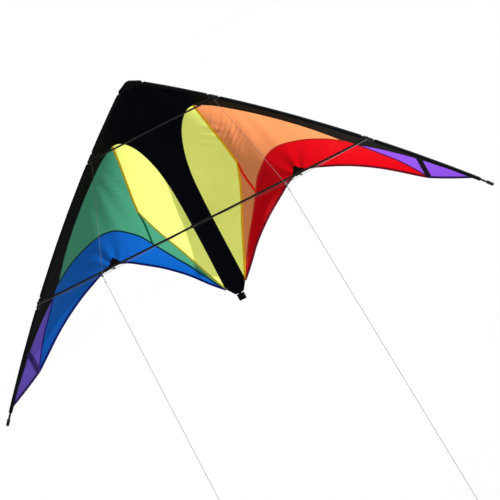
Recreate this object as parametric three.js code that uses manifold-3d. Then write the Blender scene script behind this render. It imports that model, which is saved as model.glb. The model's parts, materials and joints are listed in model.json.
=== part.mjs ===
// Dual-line delta stunt kite, held up by its two flying lines.
// Millimetres. +Z points to the nose, +X to the right wing, +Y away from the flyer (the side the sail fills to).
// The origin is on the sail where the lower spreader crosses the spine.
import * as THREE from 'three';
import { mergeVertices } from 'three/addons/utils/BufferGeometryUtils.js';
import Module from 'manifold-3d';

const wasm = await Module();
wasm.setup();

// Sail: outer leading edge z = apex - slope * x - bow * x^2, and a belly that deepens towards the trailing edge.
const APEX_Z = 402;
const EDGE_SLOPE = 0.724;
const EDGE_BOW = 0.000317;
const BELLY_PER_DROP = 0.3;
const BELLY_PEAK_ACROSS = 0.55;
const BELLY_FADE_FROM = 430;
const BELLY_FADE_TO = 650;
const BELLY_FADE = 0.75;
const CLOTH = 0.8;
const SEAM_GAP = 0.36;
const SAIL_TOP_Z = 370;
const SAIL_BOTTOM_Z = -230;
const SAIL_EDGE_CLEARANCE = 14.5;
const PATCH_AHEAD = 1.2;
const SAIL_ROWS = 15;
const SAIL_COLUMNS = 12;

// Frame.
const ROD_R = 2.75;
const BORE_R = 3.1;
const SLEEVE_R = 4.8;
const SLEEVE_WALL = 0.5;
const FERRULE_R = 3.8;
const FERRULE_LENGTH_X = 26;
const FERRULE_X = 300;
const EDGE_ROD_START_X = 24;
const EDGE_ROD_END_X = 688;
const SLEEVE_START_X = 36;
const SLEEVE_END_X = 665;
const NOCK_R = 4.2;
const NOCK_LENGTH_X = 12;
const ROD_TO_ROD_GAP = 0.3;
const SPINE_Y = 5.5;
const SPINE_TOP_Z = 376;
const SPINE_BOTTOM_Z = -222;
const SPREADER_Y = -8.5;
const LOWER_SPREADER_Z = 0;
const UPPER_SPREADER_Z = 262;
const LOWER_SPREADER_END_X = 457;
const LOWER_SPREADER_START_X = 5;
const UPPER_SPREADER_R = 2.25;
const TEE_WALL_HALF = 1.5;
const TEE_ARM_HALF = 28;
const TEE_BARREL_HALF = 12;
const TEE_NECK_HALF = [5, 6];
const TEE_CUTOUT_HALF = [7, 15];
const UPPER_SPREADER_END_X = 166;
const LOWER_CONNECTOR_X = 461;
const UPPER_CONNECTOR_X = 172;
const CONNECTOR_R = 4.7;
const CONNECTOR_SIDES = 14;
const CONNECTOR_HALF_X = 9.1;
const CONNECTOR_LIP = 3;
const CONNECTOR_RIB_HALF = 4;
const SLOT_REACH = 9;
const CUTOUT_HALF_X = 12;
const SOCKET_LENGTH = 26;
const STANDOFF_R = 1.5;
const STANDOFF_X = 266;
const STANDOFF_TIP = [267.5, 121, -36];
const STANDOFF_BORE_R = 1.85;
const CLIP_HALF = 6;
const CUP_R = 2.8;
const CUP_FROM = 3.4;
const CUP_TO = 18;
const CUP_FLOOR = 5.5;
const CAP_R = 2.6;
const CAP_LENGTH = 12;
const CAP_WALL = 2;

// Nose and tail webbing.
const NOSE_OUTLINE = [[-33, 373], [33, 373], [31, 380.5], [4, 393.5], [-4, 393.5], [-31, 380.5]];
const NOSE_FRONT_Y = -4.4;
const NOSE_BACK_Y = 9.6;
const TAIL_LOW = [-10, -2.4, -229];
const TAIL_HIGH = [10, 10, -211];

// Lines.
const LEG_R = 0.5;
const LINE_R = 0.6;
const TOW = [242, -236, 44];
const LINE_DIRECTION = new THREE.Vector3(0.098, -0.69, -0.718).normalize();
const LINE_LENGTHS = { left: 700, right: 955 };
const PIGTAIL = 22;
const PIGTAIL_R = 0.9;
const TOW_KNOT_R = 3.2;
const STOPPER_KNOT_R = 1.8;
const LOOP_R = 7;
const LOOP_STRETCH = 2;
const LOOP_CORD_R = 0.7;
const LOOP_KNOT_R = 2;
const KNOT_GAP = 0.4;

// Colours.
const BLACK = 0x08080c;
const SMOKE = 0x1c1e1a;
const ROD_BLACK = 0x101114;
const VINYL = 0x0b0b0d;
const LINE_GREY = 0xd8d8d8;
const YELLOW = 0xe6ec82;
const GREEN = 0x48a070;
const BLUE = 0x0052bb;
const VIOLET = 0x6b45bb;
const ORANGE = 0xfa9462;
const RED = 0xc80018;

// Seams of the right half, from the nose towards the tail or from the edge inwards, as [x, z].
const SHOULDER = [112, 262];
const KINK = [140, 74];
const BAND_FOOT = [27, -187];
const STRIP_CORNER = [404, 8];
const VIOLET_CORNER = [425, -12];
const HEM_CORNER = [551, -168];
const TIP_CORNER = [652, -212];
const TAIL_CORNER = [12, -208];
const ARCH_SEAM = [SHOULDER, [98, 261], [80, 250], [60, 224], [42, 178], [31, 120], [27, 50], [26, -60], BAND_FOOT];
const STRIP_SEAM = [SHOULDER, [150, 243], [194, 211], [240, 174], [300, 120], [345, 75], STRIP_CORNER];
const STRIP_STEP = [STRIP_CORNER, VIOLET_CORNER];
const TIP_SEAM = [VIOLET_CORNER, [478, -50], [542, -104], [600, -161], TIP_CORNER];
const YELLOW_UPPER_SEAM = [SHOULDER, [119, 215], [128, 160], [136, 110], KINK];
const YELLOW_LOWER_SEAM = [KINK, [127, 35], [107, -13], [85, -58], BAND_FOOT];
const OUTER_SEAM = [
  STRIP_CORNER, [362, 32], [314, 50], [265, 60], [238, 60], [214, 52], [192, 36], [166, 12],
  [150, -12], [136, -33], [106, -73], [82, -103], BAND_FOOT,
];
const VIOLET_SEAM = [VIOLET_CORNER, [464, -56], [504, -101], HEM_CORNER];
const TRAILING_EDGE_INNER = [
  BAND_FOOT, [56, -160], [95, -122], [145, -87], [198, -58], [232, -39], [262, -30], [297, -33],
  [325, -43], [390, -69], [457, -104], HEM_CORNER,
];
const TRAILING_EDGE_OUTER = [HEM_CORNER, [600, -190], TIP_CORNER];
const SHOULDER_SEAM = [SHOULDER, [170, 274]];
const STRAP = [[542, -106], [554, -106], [557, -168], [545, -162]];
const PATCH = [[259, -9], [246, -31], [262, -28.5], [281, -28.5]];
// Corners well outside the sail, where a panel runs out to the leading edge.
const BEYOND_TIP = [[700, -212], [700, 274], [170, 274]];
const BEYOND_NOSE = [[170, 380], [170, 274]];

function material(color, roughness = 0.7) {
  return new THREE.MeshStandardMaterial({ color, roughness, metalness: 0 });
}

function smooth01(a, b, v) {
  const u = Math.min(1, Math.max(0, (v - a) / (b - a)));
  return u * u * (3 - 2 * u);
}

// Half width of the sail at a drop below the apex, to the outer leading edge.
function halfWidth(drop) {
  return (-EDGE_SLOPE + Math.sqrt(EDGE_SLOPE ** 2 + 4 * EDGE_BOW * drop)) / (2 * EDGE_BOW);
}

// How far the sail stands behind the plane of the leading edges at x, z.
function sailY(x, z) {
  const drop = APEX_Z - z;
  const across = Math.min(1, Math.abs(x) / halfWidth(drop));
  const depth = BELLY_PER_DROP * drop * (1 - BELLY_FADE * smooth01(BELLY_FADE_FROM, BELLY_FADE_TO, drop));
  const skew = Math.log(0.5) / Math.log(BELLY_PEAK_ACROSS);
  return depth * Math.sin(Math.PI * across ** skew);
}

// A point on the leading edge, moved in from the outer edge by inset, at side 1 (right) or -1 (left).
function edgePoint(x, inset, side) {
  const steep = EDGE_SLOPE + 2 * EDGE_BOW * x;
  const long = Math.hypot(steep, 1);
  const z = APEX_Z - EDGE_SLOPE * x - EDGE_BOW * x * x;
  return new THREE.Vector3(side * (x - (inset * steep) / long), 0, z - inset / long);
}

function edgeCurve(fromX, toX, side, inset = SLEEVE_R) {
  const steps = Math.max(2, Math.round((toX - fromX) / 50));
  const points = [];
  for (let i = 0; i <= steps; i++) points.push(edgePoint(fromX + ((toX - fromX) * i) / steps, inset, side));
  return { curve: new THREE.CatmullRomCurve3(points), steps };
}

function circle(radius, sides) {
  const shape = new THREE.Shape();
  for (let i = 0; i < sides; i++) {
    const a = (2 * Math.PI * i) / sides;
    if (i === 0) shape.moveTo(radius, 0);
    else shape.lineTo(radius * Math.cos(a), radius * Math.sin(a));
  }
  return shape;
}

// A round tube along a curve, solid unless bore is given.
function tubeAlong(curve, steps, radius, bore = 0, sides = 8) {
  const shape = circle(radius, sides);
  if (bore > 0) shape.holes.push(circle(bore, sides));
  return new THREE.ExtrudeGeometry(shape, { steps, bevelEnabled: false, extrudePath: curve });
}

function straightTube(from, to, radius, bore = 0, sides = 8) {
  const curve = new THREE.LineCurve3(new THREE.Vector3(...from), new THREE.Vector3(...to));
  return tubeAlong(curve, 1, radius, bore, sides);
}

function solid(geometry) {
  const bare = geometry.clone();
  bare.deleteAttribute('normal');
  bare.deleteAttribute('uv');
  const merged = mergeVertices(bare, 1e-4);
  const vertProperties = new Float32Array(merged.attributes.position.array);
  const triVerts = new Uint32Array(merged.index.array);
  return new wasm.Manifold(new wasm.Mesh({ numProp: 3, vertProperties, triVerts }));
}

function geometryOf(manifold) {
  const mesh = manifold.getMesh();
  const geometry = new THREE.BufferGeometry();
  geometry.setAttribute('position', new THREE.BufferAttribute(new Float32Array(mesh.vertProperties), 3));
  geometry.setIndex(new THREE.BufferAttribute(new Uint32Array(mesh.triVerts), 1));
  geometry.computeVertexNormals();
  return geometry;
}

// A solid round bar between two points.
function pin(from, to, radius, sides = CONNECTOR_SIDES) {
  return solid(straightTube(from, to, radius, 0, sides));
}

// A solid box between two corners.
function block(low, high) {
  const size = high.map((v, i) => v - low[i]);
  const box = new THREE.BoxGeometry(...size);
  box.translate(...high.map((v, i) => (v + low[i]) / 2));
  return solid(box);
}

// The sail's cloth as one curved slab across both wings. Its front face stands forward of the sail by ahead.
function sailSlab(ahead, thickness) {
  const positions = [];
  const index = [];
  const wide = 2 * SAIL_COLUMNS + 1;
  for (const back of [0, thickness]) {
    for (let row = 0; row <= SAIL_ROWS; row++) {
      const z = SAIL_TOP_Z + ((SAIL_BOTTOM_Z - SAIL_TOP_Z) * row) / SAIL_ROWS;
      const half = halfWidth(APEX_Z - z) - SAIL_EDGE_CLEARANCE;
      for (let c = -SAIL_COLUMNS; c <= SAIL_COLUMNS; c++) {
        const x = (half * c) / SAIL_COLUMNS;
        positions.push(x, sailY(x, z) - ahead + back, z);
      }
    }
  }
  const layer = wide * (SAIL_ROWS + 1);
  const at = (row, c, back) => back * layer + row * wide + c;
  const quad = (a, b, c, d) => index.push(a, b, c, a, c, d);
  for (let row = 0; row < SAIL_ROWS; row++) {
    for (let c = 0; c < wide - 1; c++) {
      quad(at(row, c, 0), at(row + 1, c, 0), at(row + 1, c + 1, 0), at(row, c + 1, 0));
      quad(at(row, c, 1), at(row, c + 1, 1), at(row + 1, c + 1, 1), at(row + 1, c, 1));
    }
    quad(at(row, 0, 0), at(row, 0, 1), at(row + 1, 0, 1), at(row + 1, 0, 0));
    quad(at(row, wide - 1, 0), at(row + 1, wide - 1, 0), at(row + 1, wide - 1, 1), at(row, wide - 1, 1));
  }
  for (let c = 0; c < wide - 1; c++) {
    quad(at(0, c, 0), at(0, c + 1, 0), at(0, c + 1, 1), at(0, c, 1));
    quad(at(SAIL_ROWS, c, 0), at(SAIL_ROWS, c, 1), at(SAIL_ROWS, c + 1, 1), at(SAIL_ROWS, c + 1, 0));
  }
  const geometry = new THREE.BufferGeometry();
  geometry.setAttribute('position', new THREE.Float32BufferAttribute(positions, 3));
  geometry.setIndex(index);
  return solid(geometry);
}

// The smooth line through a seam's points, as [x, z] pairs.
function smoothLine(points) {
  if (points.length < 3) return points;
  const curve = new THREE.CatmullRomCurve3(points.map(([x, z]) => new THREE.Vector3(x, 0, z)), false, 'centripetal');
  return curve.getPoints(2 * (points.length - 1)).map((p) => [p.x, p.z]);
}

// A prism along Y through an outline of [x, z] points, deep enough to cross the whole sail.
function prism(outline, fromY = -30, toY = 220) {
  const shape = new THREE.Shape(outline.map(([x, z]) => new THREE.Vector2(x, z)));
  const geometry = new THREE.ExtrudeGeometry(shape, { depth: toY - fromY, steps: 1, bevelEnabled: false });
  geometry.rotateX(Math.PI / 2);
  geometry.translate(0, toY, 0);
  return solid(geometry);
}

// The thin wall that parts two panels along a seam.
function seamWall(points) {
  const line = smoothLine(points);
  const left = [];
  const right = [];
  line.forEach(([x, z], i) => {
    const [ax, az] = line[Math.max(0, i - 1)];
    const [bx, bz] = line[Math.min(line.length - 1, i + 1)];
    const long = Math.hypot(bx - ax, bz - az);
    const tx = (bx - ax) / long;
    const tz = (bz - az) / long;
    const end = i === 0 ? -1 : i === line.length - 1 ? 1 : 0;
    const cx = x + end * tx * SEAM_GAP;
    const cz = z + end * tz * SEAM_GAP;
    left.push([cx - (tz * SEAM_GAP) / 2, cz + (tx * SEAM_GAP) / 2]);
    right.push([cx + (tz * SEAM_GAP) / 2, cz - (tx * SEAM_GAP) / 2]);
  });
  return prism([...left, ...right.reverse()]);
}

// Joins seam lines end to end into one outline, dropping doubled corners.
function outlineOf(...lines) {
  const outline = [];
  for (const point of lines.flat()) {
    const last = outline[outline.length - 1];
    if (!last || Math.hypot(last[0] - point[0], last[1] - point[1]) > 1e-6) outline.push(point);
  }
  const [first, last] = [outline[0], outline[outline.length - 1]];
  if (Math.hypot(first[0] - last[0], first[1] - last[1]) < 1e-6) outline.pop();
  return outline;
}

const reversed = (line) => [...line].reverse();
const mirrored = (line) => line.map(([x, z]) => [-x, z]);

const LINES = Object.fromEntries(
  Object.entries({
    arch: ARCH_SEAM,
    strip: STRIP_SEAM,
    step: STRIP_STEP,
    tip: TIP_SEAM,
    yellowUpper: YELLOW_UPPER_SEAM,
    yellowLower: YELLOW_LOWER_SEAM,
    outer: OUTER_SEAM,
    violet: VIOLET_SEAM,
    shoulder: SHOULDER_SEAM,
  }).map(([name, points]) => [name, smoothLine(points)]),
);
const HEM_INNER = smoothLine(TRAILING_EDGE_INNER);
const HEM_OUTER = smoothLine(TRAILING_EDGE_OUTER);

const PANEL_OUTLINES = {
  yellow: outlineOf(LINES.arch, reversed(LINES.yellowLower), reversed(LINES.yellowUpper)),
  middle: outlineOf(LINES.strip, LINES.outer, reversed(LINES.yellowLower), reversed(LINES.yellowUpper)),
  outer: outlineOf(LINES.outer, HEM_INNER, reversed(LINES.violet), reversed(LINES.step)),
  violet: outlineOf(LINES.violet, HEM_OUTER, reversed(LINES.tip)),
  strip: outlineOf(LINES.strip, LINES.step, LINES.tip, BEYOND_TIP, reversed(LINES.shoulder)),
};

const CENTRE_OUTLINE = (() => {
  const right = outlineOf(BEYOND_NOSE, reversed(LINES.shoulder), LINES.arch, [TAIL_CORNER]);
  return [...right, ...mirrored(right).reverse()];
})();

const CLOTH_SLAB = sailSlab(0, CLOTH);
const PATCH_SLAB = sailSlab(PATCH_AHEAD, CLOTH);
const SEAM_WALLS = [1, -1].flatMap((side) =>
  Object.values({
    ARCH_SEAM, STRIP_SEAM, STRIP_STEP, TIP_SEAM, YELLOW_UPPER_SEAM, YELLOW_LOWER_SEAM, OUTER_SEAM, VIOLET_SEAM,
    SHOULDER_SEAM,
  }).map((points) => seamWall(side > 0 ? points : mirrored(points))),
);

function panel(outline, slab = CLOTH_SLAB) {
  let cloth = slab.intersect(prism(outline));
  if (slab === CLOTH_SLAB) for (const wall of SEAM_WALLS) cloth = cloth.subtract(wall);
  return cloth;
}

function centrePanel() {
  const [x, z] = TEE_CUTOUT_HALF;
  const teeCutout = prism([[-x, -z], [x, -z], [x, z], [-x, z]]);
  return panel(CENTRE_OUTLINE).subtract(teeCutout);
}

// Webbing folded over the nose, with pockets for the spine and both leading edge rods.
function noseWebbing() {
  let webbing = prism(NOSE_OUTLINE, NOSE_FRONT_Y, NOSE_BACK_Y);
  for (const side of [1, -1]) {
    const { curve, steps } = edgeCurve(EDGE_ROD_START_X - 1, 60, side);
    webbing = webbing.subtract(solid(tubeAlong(curve, steps, BORE_R)));
  }
  return webbing.subtract(solid(straightTube([0, SPINE_Y, 340], [0, SPINE_Y, SPINE_TOP_Z + 1], BORE_R)));
}

// Webbing folded over the tail end of the spine.
function tailWebbing() {
  const webbing = block(TAIL_LOW, TAIL_HIGH);
  return webbing.subtract(solid(straightTube([0, SPINE_Y, -200], [0, SPINE_Y, SPINE_BOTTOM_Z - 0.5], BORE_R)));
}

// The tee grips the spine behind the sail and carries both lower spreaders in front of it.
function centerTee() {
  const barrel = pin([0, SPINE_Y, -TEE_BARREL_HALF], [0, SPINE_Y, TEE_BARREL_HALF], CONNECTOR_R);
  const arms = pin([-TEE_ARM_HALF, SPREADER_Y, 0], [TEE_ARM_HALF, SPREADER_Y, 0], CONNECTOR_R);
  const [neckX, neckZ] = TEE_NECK_HALF;
  const neck = block([-neckX, SPREADER_Y + 1, -neckZ], [neckX, SPINE_Y - 1, neckZ]);
  let tee = barrel.add(arms).add(neck);
  tee = tee.subtract(pin([0, SPINE_Y, -TEE_BARREL_HALF - 8], [0, SPINE_Y, TEE_BARREL_HALF + 8], BORE_R));
  for (const side of [1, -1]) {
    const wallX = side * TEE_WALL_HALF;
    const openX = side * (TEE_ARM_HALF + 12);
    const [low, high] = [wallX, openX].sort((p, q) => p - q);
    tee = tee.subtract(pin([wallX, SPREADER_Y, 0], [openX, SPREADER_Y, 0], BORE_R));
    tee = tee.subtract(block([low, SPREADER_Y - BORE_R, -SLOT_REACH], [high, SPREADER_Y + BORE_R, 0]));
  }
  return tee;
}

// A moulded connector on the leading edge rod, with an open-sided socket for a spreader.
function edgeConnector(edgeX, spreaderZ, endX, side, opening) {
  const { curve, steps } = edgeCurve(edgeX - CONNECTOR_HALF_X, edgeX + CONNECTOR_HALF_X, side);
  const grip = solid(tubeAlong(curve, steps, CONNECTOR_R, 0, CONNECTOR_SIDES));
  const inner = side * (endX - SOCKET_LENGTH);
  const outer = side * (endX + CONNECTOR_LIP);
  const ribX = side * (endX - 2 * CONNECTOR_LIP);
  const socket = pin([inner, SPREADER_Y, spreaderZ], [outer, SPREADER_Y, spreaderZ], CONNECTOR_R);
  const rib = block(
    [Math.min(ribX, outer), SPREADER_Y, spreaderZ - CONNECTOR_RIB_HALF],
    [Math.max(ribX, outer), 0, spreaderZ + CONNECTOR_RIB_HALF],
  );
  const rodHole = edgeCurve(edgeX - 30, edgeX + 30, side);
  const boreEnd = side * (endX + 0.5);
  const boreStart = side * (endX - SOCKET_LENGTH - 5);
  const bore = pin([boreStart, SPREADER_Y, spreaderZ], [boreEnd, SPREADER_Y, spreaderZ], BORE_R);
  const [low, high] = [boreStart, boreEnd].sort((p, q) => p - q);
  const slots = {
    below: block([low, SPREADER_Y - BORE_R, spreaderZ - SLOT_REACH], [high, SPREADER_Y + BORE_R, spreaderZ]),
    ahead: block([low, SPREADER_Y - SLOT_REACH, spreaderZ - BORE_R], [high, SPREADER_Y, spreaderZ + BORE_R]),
  };
  return grip
    .add(socket)
    .add(rib)
    .subtract(solid(tubeAlong(rodHole.curve, rodHole.steps, BORE_R, 0, CONNECTOR_SIDES)))
    .subtract(bore)
    .subtract(slots[opening]);
}

function standoffDirection(side) {
  const from = new THREE.Vector3(side * STANDOFF_X, SPREADER_Y, LOWER_SPREADER_Z);
  const to = new THREE.Vector3(side * STANDOFF_TIP[0], STANDOFF_TIP[1], STANDOFF_TIP[2]);
  return { from, along: to.clone().sub(from).normalize(), length: from.distanceTo(to) };
}

function standoffPoint(side, distance) {
  const { from, along } = standoffDirection(side);
  return from.clone().addScaledVector(along, distance).toArray();
}

// A ring that turns on the lower spreader, with a cup for the standoff rod.
function standoffClip(side) {
  const x = side * STANDOFF_X;
  const ring = pin([x - CLIP_HALF, SPREADER_Y, 0], [x + CLIP_HALF, SPREADER_Y, 0], CONNECTOR_R);
  const cup = pin(standoffPoint(side, CUP_FROM), standoffPoint(side, CUP_TO), CUP_R, 12);
  const bore = pin([x - CLIP_HALF - 3, SPREADER_Y, 0], [x + CLIP_HALF + 3, SPREADER_Y, 0], BORE_R);
  const cupBore = pin(standoffPoint(side, CUP_FLOOR), standoffPoint(side, CUP_TO + 7), STANDOFF_BORE_R, 12);
  return ring.add(cup).subtract(bore).subtract(cupBore);
}

function standoffCap(side) {
  const { length } = standoffDirection(side);
  const cap = pin(standoffPoint(side, length - CAP_LENGTH), standoffPoint(side, length + CAP_WALL), CAP_R, 12);
  const from = standoffPoint(side, length - CAP_LENGTH - 8);
  return cap.subtract(pin(from, standoffPoint(side, length - 0.5), STANDOFF_BORE_R, 12));
}

// The knot where the three bridle legs meet, with the short pigtail that the flying line is tied to.
function towPigtail(side) {
  const knot = new THREE.SphereGeometry(TOW_KNOT_R, 8, 6);
  knot.translate(...towPoint(side, 0));
  const stopper = new THREE.SphereGeometry(STOPPER_KNOT_R, 8, 6);
  const stopperAt = PIGTAIL - STOPPER_KNOT_R - 0.2;
  stopper.translate(...towPoint(side, stopperAt));
  return solid(knot).add(pin(towPoint(side, 1), towPoint(side, stopperAt), PIGTAIL_R, 8)).add(solid(stopper));
}

function towPoint(side, distance) {
  return new THREE.Vector3(side * TOW[0], TOW[1], TOW[2]).addScaledVector(LINE_DIRECTION, distance).toArray();
}

// A bridle leg from its anchor to the tow knot, stopping short of both.
function bridleLeg(anchor, side) {
  const from = new THREE.Vector3(side * anchor[0], anchor[1], anchor[2]);
  const to = new THREE.Vector3(...towPoint(side, 0));
  const along = to.clone().sub(from).normalize();
  const start = from.clone().addScaledVector(along, LEG_R);
  const end = to.clone().addScaledVector(along, -TOW_KNOT_R - KNOT_GAP);
  return tubeAlong(new THREE.LineCurve3(start, end), 4, LEG_R, 0, 8);
}

function flyingLine(name, side) {
  const from = new THREE.Vector3(...towPoint(side, PIGTAIL + KNOT_GAP));
  const to = new THREE.Vector3(...towPoint(side, LINE_LENGTHS[name]));
  return tubeAlong(new THREE.LineCurve3(from, to), 6, LINE_R, 0, 8);
}

// The stopper knot and hand loop at the near end of a flying line.
function lineEndLoop(name, side) {
  const knot = new THREE.SphereGeometry(LOOP_KNOT_R, 8, 4);
  const loop = new THREE.TorusGeometry(LOOP_R, LOOP_CORD_R, 6, 14);
  loop.scale(1, LOOP_STRETCH, 1);
  loop.translate(0, LOOP_STRETCH * LOOP_R, 0);
  const turn = new THREE.Quaternion().setFromUnitVectors(new THREE.Vector3(0, 1, 0), LINE_DIRECTION);
  const joined = geometryOf(solid(knot).add(solid(loop)));
  joined.applyQuaternion(turn);
  joined.translate(...towPoint(side, LINE_LENGTHS[name] + LOOP_KNOT_R + KNOT_GAP));
  return joined;
}

const kite = new THREE.Group();

function add(name, shape, look) {
  const geometry = shape.isBufferGeometry ? shape : geometryOf(shape);
  const mesh = new THREE.Mesh(geometry, look);
  mesh.name = name;
  kite.add(mesh);
}

function addSail() {
  const middle = { left: ['left_green_panel', GREEN], right: ['right_orange_panel', ORANGE] };
  const outer = { left: ['left_blue_panel', BLUE], right: ['right_red_panel', RED] };
  add('center_black_panel', centrePanel(), material(BLACK));
  for (const [name, side] of [['left', -1], ['right', 1]]) {
    const turned = (outline) => (side > 0 ? outline : mirrored(outline));
    add(`${name}_yellow_panel`, panel(turned(PANEL_OUTLINES.yellow)), material(YELLOW));
    add(middle[name][0], panel(turned(PANEL_OUTLINES.middle)), material(middle[name][1]));
    add(outer[name][0], panel(turned(PANEL_OUTLINES.outer)), material(outer[name][1]));
    add(`${name}_violet_tip_panel`, panel(turned(PANEL_OUTLINES.violet)), material(VIOLET));
    add(`${name}_edge_strip_panel`, panel(turned(PANEL_OUTLINES.strip)), material(SMOKE));
    add(`${name}_tip_strap`, panel(turned(STRAP), PATCH_SLAB), material(BLACK));
    add(`${name}_standoff_patch`, panel(turned(PATCH), PATCH_SLAB), material(BLACK));
  }
  add('nose_webbing', noseWebbing(), material(BLACK));
  add('tail_webbing', tailWebbing(), material(BLACK));
}

function addLeadingEdge(name, side) {
  const runs = {
    nose: [SLEEVE_START_X, UPPER_CONNECTOR_X - CUTOUT_HALF_X],
    middle: [UPPER_CONNECTOR_X + CUTOUT_HALF_X, LOWER_CONNECTOR_X - CUTOUT_HALF_X],
    tip: [LOWER_CONNECTOR_X + CUTOUT_HALF_X, SLEEVE_END_X],
  };
  for (const [run, [fromX, toX]] of Object.entries(runs)) {
    const { curve, steps } = edgeCurve(fromX, toX, side);
    add(`${name}_${run}_sleeve`, tubeAlong(curve, steps, SLEEVE_R, SLEEVE_R - SLEEVE_WALL, 12), material(BLACK));
  }
  const upper = edgeCurve(EDGE_ROD_START_X, FERRULE_X - ROD_TO_ROD_GAP, side);
  const lower = edgeCurve(FERRULE_X + ROD_TO_ROD_GAP, EDGE_ROD_END_X - 3, side);
  add(`${name}_upper_edge_rod`, tubeAlong(upper.curve, upper.steps, ROD_R), material(ROD_BLACK, 0.35));
  add(`${name}_lower_edge_rod`, tubeAlong(lower.curve, lower.steps, ROD_R), material(ROD_BLACK, 0.35));
  const ferrule = edgeCurve(FERRULE_X - FERRULE_LENGTH_X, FERRULE_X + FERRULE_LENGTH_X, side);
  add(`${name}_edge_ferrule`, tubeAlong(ferrule.curve, ferrule.steps, FERRULE_R, BORE_R, 12), material(VINYL, 0.3));
  const cap = edgeCurve(EDGE_ROD_END_X - NOCK_LENGTH_X, EDGE_ROD_END_X, side);
  const capBore = edgeCurve(EDGE_ROD_END_X - NOCK_LENGTH_X - 8, EDGE_ROD_END_X - 2.5, side);
  const nock = solid(tubeAlong(cap.curve, cap.steps, NOCK_R, 0, 12));
  add(`${name}_tip_nock`, nock.subtract(solid(tubeAlong(capBore.curve, capBore.steps, BORE_R))), material(VINYL, 0.5));
}

function addFrame() {
  add('spine_rod', straightTube([0, SPINE_Y, SPINE_BOTTOM_Z], [0, SPINE_Y, SPINE_TOP_Z], ROD_R), material(ROD_BLACK, 0.35));
  add('center_tee', centerTee(), material(VINYL, 0.5));
  const upperEnd = UPPER_SPREADER_END_X;
  add(
    'upper_spreader_rod',
    straightTube([-upperEnd, SPREADER_Y, UPPER_SPREADER_Z], [upperEnd, SPREADER_Y, UPPER_SPREADER_Z], UPPER_SPREADER_R),
    material(ROD_BLACK, 0.35),
  );
  for (const [name, side] of [['left', -1], ['right', 1]]) {
    addLeadingEdge(name, side);
    const inner = [side * LOWER_SPREADER_START_X, SPREADER_Y, LOWER_SPREADER_Z];
    const outer = [side * LOWER_SPREADER_END_X, SPREADER_Y, LOWER_SPREADER_Z];
    add(`${name}_lower_spreader_rod`, straightTube(inner, outer, ROD_R), material(ROD_BLACK, 0.35));
    add(
      `${name}_upper_edge_connector`,
      edgeConnector(UPPER_CONNECTOR_X, UPPER_SPREADER_Z, UPPER_SPREADER_END_X, side, 'ahead'),
      material(VINYL, 0.5),
    );
    add(
      `${name}_lower_edge_connector`,
      edgeConnector(LOWER_CONNECTOR_X, LOWER_SPREADER_Z, LOWER_SPREADER_END_X, side, 'below'),
      material(VINYL, 0.5),
    );
    const { length } = standoffDirection(side);
    add(
      `${name}_standoff_rod`,
      straightTube(standoffPoint(side, 6), standoffPoint(side, length - 1), STANDOFF_R, 0, 8),
      material(ROD_BLACK, 0.35),
    );
    add(`${name}_standoff_clip`, standoffClip(side), material(VINYL, 0.5));
    add(`${name}_standoff_cap`, standoffCap(side), material(VINYL, 0.5));
  }
}

function addBridle() {
  const legs = {
    upper: [UPPER_SPREADER_END_X + 2, SPREADER_Y - CONNECTOR_R, UPPER_SPREADER_Z - 3],
    outer: [LOWER_SPREADER_END_X + 1, SPREADER_Y - CONNECTOR_R, LOWER_SPREADER_Z],
    inner: [LOWER_SPREADER_START_X, SPREADER_Y - CONNECTOR_R, LOWER_SPREADER_Z],
  };
  for (const [name, side] of [['left', -1], ['right', 1]]) {
    for (const [leg, anchor] of Object.entries(legs)) {
      add(`${name}_${leg}_bridle_leg`, bridleLeg(anchor, side), material(LINE_GREY, 0.6));
    }
    add(`${name}_tow_pigtail`, towPigtail(side), material(LINE_GREY, 0.6));
    add(`${name}_flying_line`, flyingLine(name, side), material(LINE_GREY, 0.6));
    add(`${name}_line_end_loop`, lineEndLoop(name, side), material(LINE_GREY, 0.6));
  }
}

addSail();
addFrame();
addBridle();

export default kite;
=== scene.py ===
"""Looks of a dual-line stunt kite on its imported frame.

+Z runs to the nose, +X to the right wing and +Y away from the flyer.
"""
import json
import math

import bpy
import numpy as np
from mathutils import Matrix, Vector
from mathutils.geometry import delaunay_2d_cdt


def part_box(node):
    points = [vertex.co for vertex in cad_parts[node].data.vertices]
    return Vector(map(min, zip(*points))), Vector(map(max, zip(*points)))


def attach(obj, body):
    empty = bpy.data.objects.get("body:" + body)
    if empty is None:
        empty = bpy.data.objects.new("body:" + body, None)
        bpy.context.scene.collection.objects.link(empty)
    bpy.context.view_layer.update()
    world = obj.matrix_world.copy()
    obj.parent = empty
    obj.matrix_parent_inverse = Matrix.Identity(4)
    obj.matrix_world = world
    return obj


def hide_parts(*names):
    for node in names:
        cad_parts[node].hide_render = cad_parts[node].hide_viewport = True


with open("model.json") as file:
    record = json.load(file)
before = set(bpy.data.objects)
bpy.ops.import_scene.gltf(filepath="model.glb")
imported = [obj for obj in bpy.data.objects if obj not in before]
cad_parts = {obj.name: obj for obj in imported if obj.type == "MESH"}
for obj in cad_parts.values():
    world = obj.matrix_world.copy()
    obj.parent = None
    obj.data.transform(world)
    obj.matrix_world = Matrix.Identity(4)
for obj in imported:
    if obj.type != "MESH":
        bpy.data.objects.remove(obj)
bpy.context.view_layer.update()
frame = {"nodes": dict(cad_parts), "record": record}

MM = 0.001
ROOT = "frame_and_sail"
SIDES = {"left": -1, "right": 1}

# The sail's shape, in millimetres: leading edge z = apex - slope * x - bow * x^2, and a belly behind it.
APEX_Z = 402
EDGE_SLOPE = 0.724
EDGE_BOW = 0.000317
BELLY_PER_DROP = 0.3
BELLY_PEAK_ACROSS = 0.55
BELLY_FADE_FROM = 430
BELLY_FADE_TO = 650
BELLY_FADE = 0.75
SLEEVE_R = 4.8
SAIL_INSET = 7.6
SAIL_TOP_Z = 384

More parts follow.
